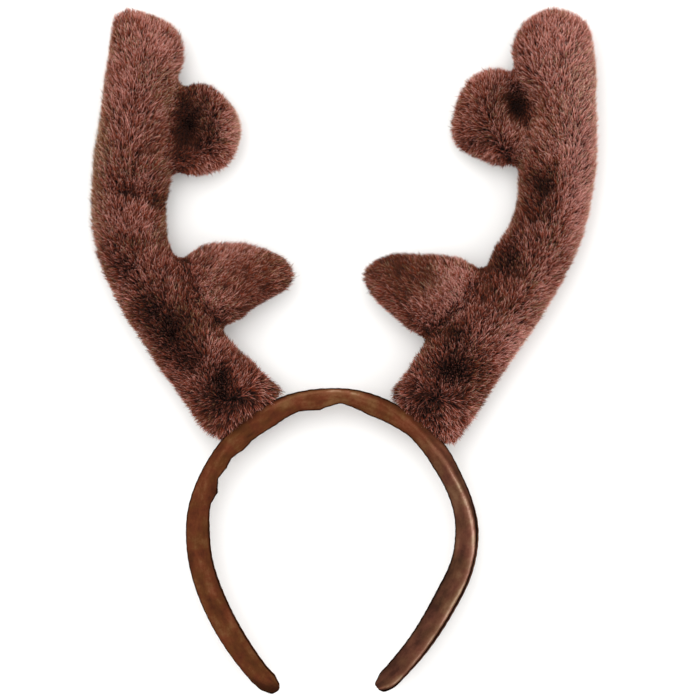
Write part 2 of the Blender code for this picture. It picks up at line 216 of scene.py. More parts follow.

# Where the pile is parted, pressed or brushed, at (x, y) in mm and as far as it reaches each way.
# Shade lightens or darkens it: painted light where light falls on the pile, and painted shade in
# its hollows and where it stands upright. Stand lifts it upright or lays it flatter, sink makes it
# shorter or longer, and tan is how many more of its strands are tan; on the sides the paler tan is
# painted light.
Patch = namedtuple("Patch", "x y reach_x reach_y shade stand sink tan", defaults=(0.0,) * 4)
PATCHES = (
    # left beam, from its top down
    Patch(-90, 142, 15, 20, shade=0.46),
    Patch(-99, 108, 11, 20, shade=0.20),
    Patch(-87, 98, 7, 12, shade=-0.18),
    Patch(-111, 100, 5, 30, sink=-0.22, tan=0.35),
    Patch(-113, 62, 4, 32, tan=0.55),
    Patch(-85, 66, 5, 8, shade=-0.42),
    Patch(-103, 72.5, 5.5, 2.2, shade=-0.30, stand=0.4, sink=0.45),
    Patch(-96, 71, 5, 2.0, shade=-0.34, stand=0.4, sink=0.45),
    Patch(-89, 67.5, 5, 2.4, shade=-0.38, stand=0.3, sink=0.4),
    Patch(-87, 52, 3, 14, tan=0.30),
    Patch(-100, 38, 6, 8, shade=-0.15, stand=0.6, sink=0.2),
    Patch(-90, 20, 6, 9, shade=-0.32, stand=0.7, sink=0.2),
    Patch(-79, 9, 7, 9, shade=-0.42, stand=0.8, sink=0.3),
    Patch(-72, -3, 7, 6, shade=-0.22, stand=0.6),
    Patch(-56, -11, 4, 5, shade=-0.40, stand=0.8, sink=0.3),
    Patch(-57, -25, 11, 10, shade=-0.30, stand=0.7, sink=0.1),
    Patch(-42, -22, 9, 8, shade=-0.18),
    Patch(-50, -2, 4, 8, shade=-0.15, sink=0.12),
    Patch(-38, -16, 5, 6, sink=0.12),
    Patch(-68, -38, 6, 7, shade=-0.05, sink=-0.55),
    Patch(-86, -20, 6, 13, shade=-0.22, sink=-0.60),
    Patch(-102, 6, 6, 13, shade=-0.08, sink=-0.55),
    Patch(-114, 44, 6, 22, sink=-0.35),
    # left crown tine and brow tine
    # The knob's dark middle: upright, shorter pile and painted shade
    Patch(-70, 102, 9.5, 12, shade=-0.72, stand=0.9, sink=0.35),
    Patch(-51, 100, 6, 15, shade=0.75),
    Patch(-60, 82, 9, 4, shade=0.20),
    Patch(-74, 118, 7, 4, tan=0.35),
    Patch(-55, 28, 4, 2, shade=-0.50, stand=0.5, sink=0.3),
    Patch(-62, 27, 7, 14, shade=0.22),
    Patch(-46, 34, 18, 14, shade=-0.29, stand=-0.35),
    Patch(-54, 44, 12, 4, shade=0.10, sink=-0.15),
    Patch(-36, 34, 8, 6, shade=-0.20),
    # right beam, from its top down
    Patch(103, 137, 15, 24, shade=0.68),
    # Painted light down the right beam's outer side
    Patch(112, 92, 11, 26, shade=1.75),
    Patch(114, 130, 7, 26, shade=0.40),
    Patch(107, 54, 8, 20, shade=0.60),
    Patch(78, 84, 6, 6, shade=-0.75),
    Patch(91, 76, 6, 9, shade=-0.55, stand=0.6, sink=0.1),
    Patch(76, 42, 7, 9, shade=-0.45, stand=0.8, sink=0.25),
    Patch(86, 62, 6, 8, shade=-0.20, stand=0.3),
    Patch(50, 9, 3, 3.5, shade=-0.45, stand=0.3),
    Patch(68, 22, 6, 8, shade=-0.32),
    Patch(53, 6, 7, 7, shade=-0.25, stand=0.5),
    Patch(92, 22, 8, 20, shade=0.42),
    Patch(77, -1, 7, 18, shade=0.95),
    Patch(49, -8, 11, 7, shade=-0.40, stand=0.8, sink=0.2),
    Patch(36, -26, 10, 9, shade=-0.32, stand=0.7, sink=0.1),
    Patch(50, -40, 6, 6, shade=0.25),
    # right crown tine and brow tine
    # The hollow between the knob and the beam: shorter, upright pile and a painted shadow
    Patch(79, 112, 7, 8.5, shade=-1.1, stand=0.9, sink=0.6),
    Patch(73, 116, 5, 3.5, shade=-0.45, stand=0.5, sink=0.2),
    Patch(60, 95, 9, 5, shade=-0.15, stand=0.5),
    Patch(62, 84, 12, 3, shade=-0.35, tan=0.4),
    Patch(64, 124, 13, 6, shade=0.25, sink=-0.15),
    Patch(50, 25, 7, 13, shade=0.75),
    Patch(26, 33, 14, 10, shade=-0.44, stand=-0.25),
    Patch(22, 40, 14, 2, shade=-0.30, stand=0.3, sink=0.1),
    Patch(38, 32, 8, 2.5, shade=-0.25, stand=0.3, sink=0.1),
    Patch(34, 45, 16, 3, shade=0.05, sink=-0.15),
)

# The sleeve lies this far outside the hoop and is eased this often. Half its depth turns an angle
# round it into a length of cloth, and the hoop's width is measured in so many steps round it.
SLEEVE_GAP = 0.1 * MM
SLEEVE_SMOOTHINGS = 6
HALF_SLEEVE = 7.0 * MM
WIDTH_STEPS = 120

# Sizes of what makes the cloth uneven: streaks along and across it, blotches, patches of dye
STREAKS = (12 * MM, 5 * MM)
BLOTCHES = 6 * MM
DYE_PATCHES = 6 * MM

# The sleeve's forms: its wrinkles waver by so many radians over this length, its folds change along
# it and round it, and its billows are a share as high as its folds
WAVER = 20 * MM
WAVER_TURN = 5
FOLD_LENGTH = 22 * MM
FOLD_TURN = 1.3
BILLOWS = 8 * MM
BILLOW_SHARE = 0.5

# Where the sleeve is slack or tight inside the hoop: degrees round it, and mm towards its middle
SLACKS = {
    -50: 0.5,
    -26: 0.9,
    -8: 0.1,
    4: 0.4,
    34: 0.7,
    52: -0.9,
    73: 1.0,
    87: -0.9,
    96: 1.9,
    105: 0.2,
    118: 0.8,
    130: -0.2,
    136: 0.3,
    143: -1.3,
    148: -0.6,
    154: -1.8,
    160: 0.3,
    166: -1.0,
    176: -0.3,
    205: -0.5,
    230: -0.5,
}

# The line where the cloth is drawn tight over the hoop's front edge, raised and with a painted
# highlight: degrees round, how far across from the inside (-1) to the outside (1), and how
# strongly it shows
Ridge = namedtuple("Ridge", "degrees across strength")
RIDGES = (
    Ridge(-62, 0.55, 0.8),
    Ridge(-29, 0.52, 1.0),
    Ridge(-7, 0.58, 0.9),
    Ridge(20, 0.22, 0.8),
    Ridge(42, 0.05, 0.55),
    Ridge(62, 0.40, 0.15),
    Ridge(88, 0.66, 0.6),
    Ridge(118, 0.50, 0.2),
    Ridge(180, -0.20, 0.08),
    Ridge(215, -0.50, 0.12),
    Ridge(242, -0.50, 0.05),
)

# Width across the sleeve of that line, of the painted highlight inside it, and of the groove
# outside it with its painted shade, which lies GROOVE_AWAY from it
LINE_WIDTH = 0.17
GLOW_WIDTH = 0.5
GROOVE_WIDTH = 0.15
GROOVE_AWAY = 0.34

# Where the cloth changes: its slack towards the hoop's middle; its ridge and painted highlight, up
# from the sides; its rims darkened with painted shade, across the sleeve and up from the sides; the
# hoop's crown with its painted highlight, its darker lower right and its right arm greyed with
# painted sheen, in degrees; and the hoop's tips darkened with painted shade, from their lowest
# point up
INSIDE = (0.0, 0.9)
RIDGE_FRONT = (0.0, 0.4)
EDGE_ACROSS = (0.74, 0.92)
EDGE_FRONT = (0.12, 0.34)
CROWN_MIDDLE, CROWN_REACH = 85, 30
LOWER_RIGHT = (-15, 25)
SHEEN_GREYED_ARM = (20, 60)
ENDS = (1 * MM, 8 * MM)

# How much paler each of these makes the cloth, or darker below nought: painted highlights on the
# ridge line, inside it and on the crown, painted light and shade on the folds, painted shade in the
# groove, at the tips and at the rims, and the lower right darker
CLOTH_TONE = -0.03
SLEEVE_TONES = {
    "line": 0.31,
    "painted_glow": 0.18,
    "groove": -0.16,
    "folds": 0.05,
    "crown": 0.05,
    "lower_right": -0.07,
    "end": -0.20,
    "edge": -0.47,
}
# How much the painted sheen greys the right arm
ARM_SHEEN_GREYING = 0.12

# The limbs that pile grows on, with the number of strands and what fixes their random draws
PileLimb = namedtuple("PileLimb", "node strands seed")
PILES = (
    PileLimb("left_beam", 66000, 11),
    PileLimb("left_brow_tine", 17000, 12),
    PileLimb("left_crown_tine", 14500, 13),
    PileLimb("right_beam", 66000, 21),
    PileLimb("right_brow_tine", 17000, 22),
    PileLimb("right_crown_tine", 14500, 23),
)

# Inputs of the pile's node tree: its own, and those that follow a plush setting
OWN_INPUTS = (
    ("Backing", "NodeSocketGeometry", "The antler's backing, which carries what the pile needs"),
    ("Limb", "NodeSocketInt", "Number of the limb whose pile grows"),
    ("Density", "NodeSocketFloat", "Strands for each square metre"),
    ("Seed", "NodeSocketInt", "Fixes every random draw"),
    ("Finish", "NodeSocketMaterial", "Material of the strands"),
)
PLUSH_INPUTS = (
    "pile_length", "strand_width", "lean", "spread",
    "tuft_size", "tuft_spread", "gather", "floor_gap",
)

# Half the floor's side in metres, and the soft lights with their place, side and power
HALF_FLOOR = 3.0
Light = namedtuple("Light", "name place side power")
LIGHTS = (
    Light("key_light", (-0.25, 0.45, 1.6), 1.5, "key_power"),
    Light("left_fill", (-1.3, -0.3, 0.9), 1.2, "fill_power"),
    Light("right_fill", (1.3, 0.1, 0.9), 1.2, "fill_power"),
)


def linear(hex_colour):
    """An sRGB hex colour as linear red, green, blue and an alpha of one."""
    channels = [int(hex_colour[i:i + 2], 16) / 255 for i in (1, 3, 5)]
    curve = [c / 12.92 if c <= 0.04045 else ((c + 0.055) / 1.055) ** 2.4 for c in channels]
    return (*curve, 1.0)


def size_property(name, description, millimetres):
    """A length that a user can change, kept in metres."""
    return bpy.props.FloatProperty(
        name=name, description=description, default=millimetres * MM, precision=5,
        subtype="DISTANCE",
    )


def number_property(name, description, number, unit="NONE"):
    """A plain number, never below nought."""
    return bpy.props.FloatProperty(
        name=name, description=description, default=number, min=0.0, unit=unit
    )


def share_property(name, description, share):
    """A share from nought to one."""
    return bpy.props.FloatProperty(
        name=name, description=description, default=share, min=0.0, max=1.0, subtype="FACTOR"
    )


def colour_property(name, description, hex_colour):
    """A linear colour whose default is written as sRGB hex."""
    return bpy.props.FloatVectorProperty(
        name=name, description=description, default=linear(hex_colour), size=4, min=0.0, max=1.0,
        subtype="COLOR",
    )


class PlushSettings(bpy.types.PropertyGroup):
    """Sizes and colours of the long-pile plush and its knitted backing."""

    pile_length: size_property("Pile length", "Length of a strand", 6.3)
    backing_depth: size_property("Backing depth", "How far inside the solid the backing lies", 4.2)
    backing_grain: size_property("Backing grain", "Size of the backing's faces", 1.3)
    strand_width: size_property("Strand width", "Width of a strand at its root", 0.56)
    tuft_size: size_property("Tuft size", "Distance between the tufts the strands gather in", 2.0)
    floor_gap: size_property("Floor gap", "Least height of a strand over the floor", 0.3)
    crease_width: size_property("Crease width", "Width of the crease between two limbs", 4.5)
    lean: share_property("Lean", "How far the strands lie over", 0.60)
    spread: share_property("Spread", "How far single strands stray", 0.74)
    tuft_spread: share_property("Tuft spread", "How far whole tufts stray", 0.34)
    gather: share_property("Gather", "How far the tips draw together in a tuft", 0.06)
    crease_depth: share_property("Crease depth", "How much shorter the pile is in a crease", 0.28)
    # Painted shade in the creases between limbs
    crease_painted_shade: share_property("Crease shade", "How much darker the pile is in a crease", 0.5)
    # Strand roots, darkened with painted shade deep in the pile
    root_dark: colour_property("Dark root", "Root of the darkest strands", "#2a211f")
    tip_dark: colour_property("Dark tip", "Tip of the darkest strands", "#50352e")
    root_light: colour_property("Light root", "Root of the lightest strands", "#2c120b")
    middle_red: colour_property("Red middle", "Middle of the lightest reddish strands", "#b2553f")
    tip_red: colour_property("Red tip", "Tip of the lightest reddish strands", "#fbbba8")
    middle_tan: colour_property("Tan middle", "Middle of the lightest tan strands", "#996140")
    tip_tan: colour_property("Tan tip", "Tip of the lightest tan strands", "#edc49a")
    backing: colour_property("Backing", "Knitted ground of the plush", "#2a1813")


class SleeveSettings(bpy.types.PropertyGroup):
    """Sizes and colours of the cloth sleeve on the hoop."""

    grain: size_property("Grain", "Size of the sleeve's faces", 0.65)
    wrinkle_spacing: size_property("Wrinkle spacing", "Distance between fine cross wrinkles", 4.5)
    wrinkle_depth: size_property("Wrinkle depth", "Depth of the fine cross wrinkles", 0.05)
    fold_height: size_property("Fold height", "Height of the folds along the sleeve", 0.35)
    ridge_height: size_property("Ridge height", "Height of the line over the hoop's edge", 0.3)
    thread_spacing: size_property("Thread spacing", "Distance between threads", 0.5)
    cloth: colour_property("Cloth", "Brown woven cloth", "#5a3321")
    # Darker cloth: its random dark spots, and painted shade in folds, groove, tips and rims
    cloth_dark_and_shaded: colour_property("Dark cloth", "The cloth in its folds", "#3c2217")
    # Paler cloth: its random pale spots, and painted light on the ridge and crown
    cloth_pale_and_lit: colour_property("Light cloth", "The cloth where it is stretched", "#79513c")
    # Painted highlight on the ridge line
    cloth_ridge_highlight: colour_property("Ridge cloth", "The cloth where it is tightest", "#c9a493")
    # Painted shade where the cloth turns away at its rims
    cloth_edge_shade: colour_property("Cloth edge", "The cloth where it turns to the sides", "#0e0503")
    dye_red: colour_property("Red dye", "Tint of the cloth where the dye is redder", "#f8e3dc")
    dye_green: colour_property("Green dye", "Tint of the cloth where the dye is greener", "#e4e8cd")


class StageSettings(bpy.types.PropertyGroup):
    """Floor, lights and camera."""

    camera_height: number_property("Camera height", "Camera's height over the floor", 1.6, "LENGTH")
    key_power: number_property("Key power", "Power of the main soft light", 17.0, "POWER")
    fill_power: number_property("Fill power", "Power of the two side lights", 5.0, "POWER")
    surround: number_property("Surround", "Brightness of the white surround", 0.95)
    floor: colour_property("Floor", "Pale floor", "#f7f6f4")


def add_node(tree, kind, inputs=(), stops=(), held=(), **settings):
    """Adds a node with its settings and fills or links its inputs, which go by name or in order.

    An input is a value, a socket, or a node that gives its first output in use. Stops are a colour
    ramp's places and colours, and held are the kinds and names of the fields a capture keeps.
    """
    node = tree.nodes.new(kind)
    for name, value in settings.items():
        setattr(node, name, value)
    for number, (place, colour) in enumerate(stops):
        elements = node.color_ramp.elements
        while len(elements) < len(stops):
            elements.new(0.5)
        elements[number].position = place
        elements[number].color = colour
    for field, name in held:
        node.capture_items.new(field, name)
    pairs = inputs.items() if isinstance(inputs, dict) else enumerate(inputs)
    for name, value in pairs:
        if isinstance(value, bpy.types.Node):
            value = next(output for output in value.outputs if output.enabled)
        if isinstance(name, int):
            socket = node.inputs[name]
        else:
            socket = next(each for each in node.inputs if each.enabled and each.name == name)
        if isinstance(value, bpy.types.NodeSocket):
            tree.links.new(value, socket)
        else:
            socket.default_value = value
    return node


def new_material(name):
    """An empty node material and its node tree."""
    material = bpy.data.materials.new(name)
    material.use_nodes = True
    material.node_tree.nodes.clear()
    return material, material.node_tree


def plush_material(plush):
    """Polyester plush pile: dull roots, darkened with painted shade deep in the pile, that hide the
    backing, and paler, frayed tips.

    A strand's map holds its tone across and its length up. Tones below a half are reddish strands,
    from dark to light, and tones above it are tan ones.
    """
    material, tree = new_material("polyester_plush_pile")
    strand = add_node(tree, "ShaderNodeUVMap", uv_map="OFBake")
    parts = add_node(tree, "ShaderNodeSeparateXYZ", {"Vector": strand})
    doubled = add_node(tree, MATH, (parts.outputs["X"], 2.0), operation="MULTIPLY")
    tone = add_node(tree, MATH, (doubled,), operation="FRACT")
    is_tan = add_node(tree, MATH, (doubled, 1.0), operation="GREATER_THAN")
    up = {"Fac": parts.outputs["Y"]}
    dark = add_node(
        tree, "ShaderNodeValToRGB", up, stops=((0.35, plush.root_dark), (0.95, plush.tip_dark))
    )
    red, tan = (
        add_node(
            tree, "ShaderNodeValToRGB", up,
            stops=((0.4, plush.root_light), (0.76, middle), (0.97, tip)),
        )
        for middle, tip in ((plush.middle_red, plush.tip_red), (plush.middle_tan, plush.tip_tan))
    )
    light = add_node(
        tree, "ShaderNodeMix", {"Factor": is_tan, "A": red, "B": tan}, data_type="RGBA"
    )
    colour = add_node(
        tree, "ShaderNodeMix", {"Factor": tone, "A": dark, "B": light}, data_type="RGBA"
    )
    # The palest strands are the greyest and the darkest the most saturated
    greying = add_node(tree, MATH, (tone, -PALE_LOSS, DARK_SATURATION), operation="MULTIPLY_ADD")
    faded = add_node(tree, "ShaderNodeHueSaturation", {"Saturation": greying, "Color": colour})
    # Dull fibres with next to no gloss
    shader = add_node(
        tree,
        "ShaderNodeBsdfPrincipled",
        {"Base Color": faded, "Roughness": 0.75, "Specular IOR Level": 0.06, "Sheen Weight": 0.02},
    )
    add_node(tree, "ShaderNodeOutputMaterial", {"Surface": shader})
    return material


def backing_material(plush):
    """Knitted polyester ground: dull dark cloth with fine loops."""
    material, tree = new_material("knitted_backing")
    place = add_node(tree, "ShaderNodeTexCoord").outputs["Object"]
    loops = add_node(tree, "ShaderNodeTexVoronoi", {"Vector": place, "Scale": 1 / LOOP_SIZE})
    # Half as bright between its loops, painted shade in the gaps
    darker = tuple(0.5 * channel for channel in plush.backing[:3]) + (1.0,)
    colour = add_node(
        tree, "ShaderNodeValToRGB", {"Fac": loops}, stops=((0.1, plush.backing), (0.8, darker))
    )
    bump = add_node(
        tree, "ShaderNodeBump", {"Height": loops, "Strength": 0.5, "Distance": 0.2 * MM}
    )
    shader = add_node(
        tree,
        "ShaderNodeBsdfPrincipled",
        {"Base Color": colour, "Roughness": 0.9, "Specular IOR Level": 0.1, "Normal": bump},
    )
    add_node(tree, "ShaderNodeOutputMaterial", {"Surface": shader})
    return material


def merged_copy(name, nodes):
    """A copy of some of the frame's nodes as one object, its loose triangles merged."""
    mesh = bpy.data.meshes.new(name)
    shape = bmesh.new()
    for node in nodes:
        shape.from_mesh(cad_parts[node].data)
    bmesh.ops.remove_doubles(shape, verts=shape.verts, dist=WELD)
    shape.to_mesh(mesh)
    shape.free()
    mesh.materials.clear()
    copy = bpy.data.objects.new(name, mesh)
    bpy.context.scene.collection.objects.link(copy)
    return copy


def hoop_middle():
    """The middle of the hoop's round upper part, and its outer radius."""
    low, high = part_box(HOOP)
    radius = (high.x - low.x) / 2
    return Vector(((low.x + high.x) / 2, high.y - radius, (low.z + high.z) / 2)), radius


def seat_stretch(antler):
    """The stretch of hoop under an antler, closed at both ends, that the backing goes round."""
    middle, _ = hoop_middle()
    seat = merged_copy("seat", [HOOP])
    shape = bmesh.new()
    shape.from_mesh(seat.data)
    for degrees, side in zip(SEAT_ARCS[antler], (1, -1)):
        angle = math.radians(degrees)
        across = Vector((-math.sin(angle), math.cos(angle), 0)) * side
        everything = shape.verts[:] + shape.edges[:] + shape.faces[:]
        bmesh.ops.bisect_plane(
            shape, geom=everything, plane_co=middle, plane_no=across, clear_inner=True
        )
        bmesh.ops.holes_fill(shape, edges=[edge for edge in shape.edges if edge.is_boundary])
    bmesh.ops.recalc_face_normals(shape, faces=shape.faces)
    shape.to_mesh(seat.data)
    shape.free()
    return seat


def join_into(target, other):
    """Adds another object's mesh to the target's and removes that object."""
    shape = bmesh.new()
    shape.from_mesh(target.data)
    shape.from_mesh(other.data)
    shape.to_mesh(target.data)
    shape.free()
    bpy.data.objects.remove(other)


def applied(obj):
    """Turns the object, as its modifiers leave it, into a plain mesh."""
    depsgraph = bpy.context.evaluated_depsgraph_get()
    evaluated = obj.evaluated_get(depsgraph)
    mesh = bpy.data.meshes.new_from_object(
        evaluated, preserve_all_data_layers=True, depsgraph=depsgraph
    )
    obj.modifiers.clear()
    obj.data = mesh
    mesh.name = obj.name
    return obj


def offset_and_remesh(obj, distance, grain, smoothings):
    """Moves the surface out by distance and rebuilds it as an even net."""
    displace = obj.modifiers.new("offset", "DISPLACE")
    displace.strength = distance
    displace.mid_level = 0.0
    remesh = obj.modifiers.new("net", "REMESH")
    remesh.mode = "VOXEL"
    remesh.voxel_size = grain
    smooth = obj.modifiers.new("ease", "SMOOTH")
    smooth.iterations = smoothings
    applied(obj)


def values_of(items, name, kind=float):
    """The value that each of a mesh's items has under a name."""
    values = np.zeros(len(items), kind)
    items.foreach_get(name, values)
    return values


def rows_of(items, name):
    """The x, y, z that each of a mesh's items has under a name, as rows."""
    values = np.zeros(len(items) * 3)
    items.foreach_get(name, values)
    return values.reshape(-1, 3)


def store(mesh, name, kind, domain, values):
    """Keeps one value for each vertex or face under a name."""
    field = "vector" if kind == "FLOAT_VECTOR" else "value"
    attribute = mesh.attributes.new(name, kind, domain)
    attribute.data.foreach_set(field, np.ravel(values))


def lie_directions(lies, places):
    """The sweep of the pile at each place, blended from a limb's own rows by nearness."""
    rows = np.array(lies)
    away = places[:, None, :2] / MM - rows[None, :, :2]
    nearness = 1 / (np.sum(away * away, axis=2) + LIE_EASE) ** LIE_POWER
    blend = nearness @ rows[:, 2:] / nearness.sum(axis=1)[:, None]
    blend /= np.linalg.norm(blend, axis=1)[:, None]
    return np.column_stack([blend, np.zeros(len(blend))])


def falloff(away, width):
    """One where away is nought, easing to nought about two widths from there."""
    return np.exp(-((away / width) ** 2))


def smooth_step(values, low, high):
    """Nought below low, one above high, and an easy climb between."""
    t = np.clip((values - low) / (high - low), 0, 1)
    return t * t * (3 - 2 * t)


def patch_fields(places):
    """What the patches give at each place, summed: a row of shade, stand, sink and tan each."""
    fields = np.zeros((4, len(places)))
    for patch in PATCHES:
        u = (places[:, 0] / MM - patch.x) / patch.reach_x
        v = (places[:, 1] / MM - patch.y) / patch.reach_y
        fields += np.outer(patch[4:], np.exp(-(u * u + v * v)))
    return fields


def mottled(places, mottling):
    """What the unevenness of handled pile adds at each place."""
    broad = [noise.noise(Vector(place) / mottling.broad) for place in places]
    small = [noise.noise(Vector(place) / mottling.small) for place in places]
    return mottling.strength * (np.array(broad) + np.array(small))


def limb_distances(nodes, places):
    """How far each place is from each limb's solid, a row for each limb."""
    distances = []
    for node in nodes:
        copy = merged_copy("nearness", [node])
        tree = BVHTree.FromObject(copy, bpy.context.evaluated_depsgraph_get())
        distances.append([tree.find_nearest(Vector(place))[3] for place in places])
        bpy.data.objects.remove(copy)
    return np.array(distances)


def clear_of_hoop(places):
    """One where a place is outside the hoop, nought inside it."""
    copy = merged_copy("hoop", [HOOP])
    tree = BVHTree.FromObject(copy, bpy.context.evaluated_depsgraph_get())
    bpy.data.objects.remove(copy)
    cover = np.ones(len(places))
    for index, place in enumerate(places):
        surface, normal, _, _ = tree.find_nearest(Vector(place))
        if (Vector(place) - surface).dot(normal) < 0:
            cover[index] = 0.0
    return cover


def crease_strength(nodes, distances, limbs, width):
    """One at the seam of two limbs, on the side whose pile is short and painted with shade, easing
    to nought off it.
    """
    strength = np.zeros(len(limbs))
    for limb, neighbour in CREASES:
        if limb in nodes:
            own, other = nodes.index(limb), nodes.index(neighbour)
            near = falloff(distances[other] - distances[own], width)
            strength = np.maximum(strength, np.where(limbs == own, near, 0))
    return strength


def make_backing(antler, plush):
    """The knitted ground of one antler, with all that its pile needs to know at each point."""
    nodes = ANTLERS[antler]
    backing = merged_copy(f"{antler}_antler_backing", nodes)
    join_into(backing, seat_stretch(antler))
    offset_and_remesh(backing, CLOSING, plush.backing_grain, CLOSING_SMOOTHINGS)
    step = -(plush.backing_depth + CLOSING) / DRAWING_STEPS
    for _ in range(DRAWING_STEPS):
        offset_and_remesh(backing, step, plush.backing_grain, DRAWING_SMOOTHINGS)
    mesh = backing.data
    places = rows_of(mesh.vertices, "co")
    distances = limb_distances(nodes, places)
    limbs = np.argmin(distances, axis=0)
    crease = crease_strength(nodes, distances, limbs, plush.crease_width)
    room = np.clip(distances.min(axis=0) / plush.backing_depth, *ROOMS)
    lies = np.zeros((len(places), 3))
    for number, node in enumerate(nodes):
        mine = limbs == number
        lies[mine] = lie_directions(LIES[node], places[mine])
    # The patches say how the pile looks, so each root takes the one where its strand shows
    shown = places + SHOWN_SHARE * plush.lean * plush.pile_length * lies
    shade, stand, sink, tan = patch_fields(shown)
    # The pile's random unevenness, and painted shade in the creases
    shade += mottled(places, SHADE_MOTTLING) - plush.crease_painted_shade * crease
    sideways = np.abs(rows_of(mesh.vertex_normals, "vector")[:, 0])
    # More tan on the sides: painted light
    tan += TAN_SHARE + mottled(places, TAN_MOTTLING) + SIDE_LIGHT_TAN * sideways**3
    reach = room * (1 - plush.crease_depth * crease) * (1 - np.minimum(sink, MOST_SINK))
    corners = values_of(mesh.loops, "vertex_index", int)
    first_corners = values_of(mesh.polygons, "loop_start", int)
    store(mesh, "lie", "FLOAT_VECTOR", "POINT", lies)
    stand = np.clip(stand, *STANDS)
    cover = clear_of_hoop(places)
    fields = {"shade": shade, "stand": stand, "tan": tan, "reach": reach, "cover": cover}
    for name, values in fields.items():
        store(mesh, name, "FLOAT", "POINT", values)
    store(mesh, "limb", "INT", "FACE", limbs[corners[first_corners]])
    return backing


def strand_template(tree):
    """A flat tapering strand of two faces, one unit long, which keeps its ways along and across."""
    sizes = {"Size X": 2.0, "Size Y": 1.0, "Vertices X": 2, "Vertices Y": 3}
    grid = add_node(tree, "GeometryNodeMeshGrid", sizes)
    position = add_node(tree, "GeometryNodeInputPosition")
    parts = add_node(tree, "ShaderNodeSeparateXYZ", {"Vector": position})
    along = add_node(tree, MATH, (parts.outputs["Y"], 0.5), operation="ADD")
    thinning = add_node(tree, MATH, (along, TAPER_POWER), operation="POWER")
    taper = add_node(tree, MATH, (1.0, thinning), operation="SUBTRACT")
    narrow = add_node(tree, "ShaderNodeCombineXYZ", {"X": taper, "Y": 1.0, "Z": 1.0})
    narrowed = add_node(tree, VECTOR_MATH, (position, narrow), operation="MULTIPLY")
    tapered = add_node(tree, "GeometryNodeSetPosition", {"Geometry": grid, "Position": narrowed})
    pointed = add_node(
        tree, "GeometryNodeMergeByDistance", {"Geometry": tapered, "Distance": 0.001}
    )
    return add_node(
        tree,
        "GeometryNodeCaptureAttribute",
        {"Geometry": pointed, "along": along, "across": parts.outputs["X"]},
        held=(("FLOAT", "along"), ("FLOAT", "across")),
    )


